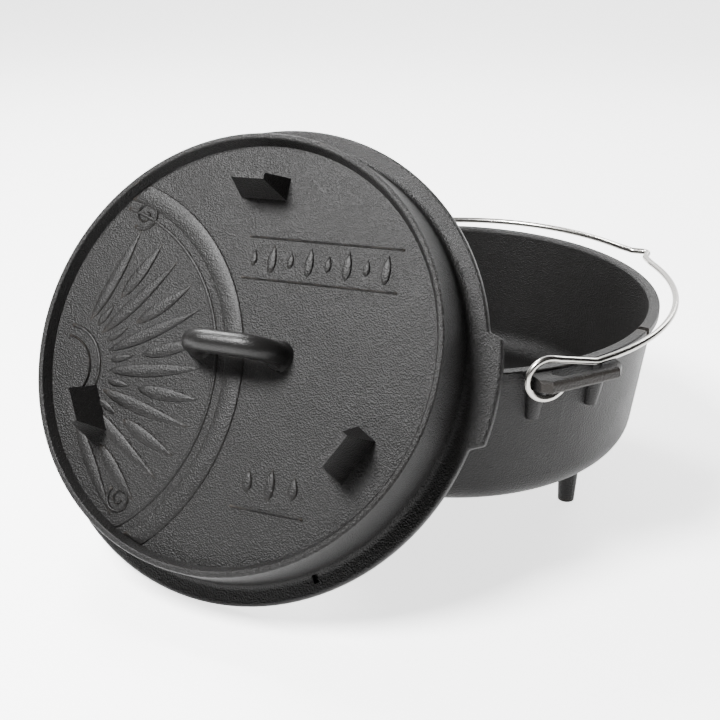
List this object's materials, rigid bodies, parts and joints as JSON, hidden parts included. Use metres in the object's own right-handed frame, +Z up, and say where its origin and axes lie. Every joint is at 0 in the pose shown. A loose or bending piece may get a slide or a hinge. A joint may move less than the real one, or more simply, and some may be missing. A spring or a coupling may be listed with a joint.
{
  "type": "dutch oven",
  "caption": "Legged cast iron camp oven with a tapered round pot, slotted ear handles, a folding wire bail and a deep loop-handled lid leaning against the rim.",
  "frame": {"origin": "bottom centre of the whole object's bounding box, with the leg tips and the lid's lowest edge on z = 0", "axes": "+Z up; the pot's two ears lie along X; the lid leans on the -Y side and the bail is folded down towards +Y; metres"},
  "size_m": [0.3282, 0.4524, 0.2615],
  "materials": {
    "seasoned_iron": "satin",
    "stainless_wire": "satin"
  },
  "bodies": {
    "pot": {"pot": "seasoned_iron"},
    "lid": {"lid": "seasoned_iron"},
    "bail": {"bail": "stainless_wire"}
  },
  "joints": [
    {"name": "bail_swing", "type": "hinge", "parent": "pot", "child": "bail", "pos_m": [-0.00312, 0.0601, 0.1345], "axis": [0.9905, -0.1374, 0], "range_deg": [0, 100]},
    {"name": "lid_lift", "type": "slide", "parent": "pot", "child": "lid", "axis": [0, 0, 1], "range_m": [0, 0.3]}
  ]
}
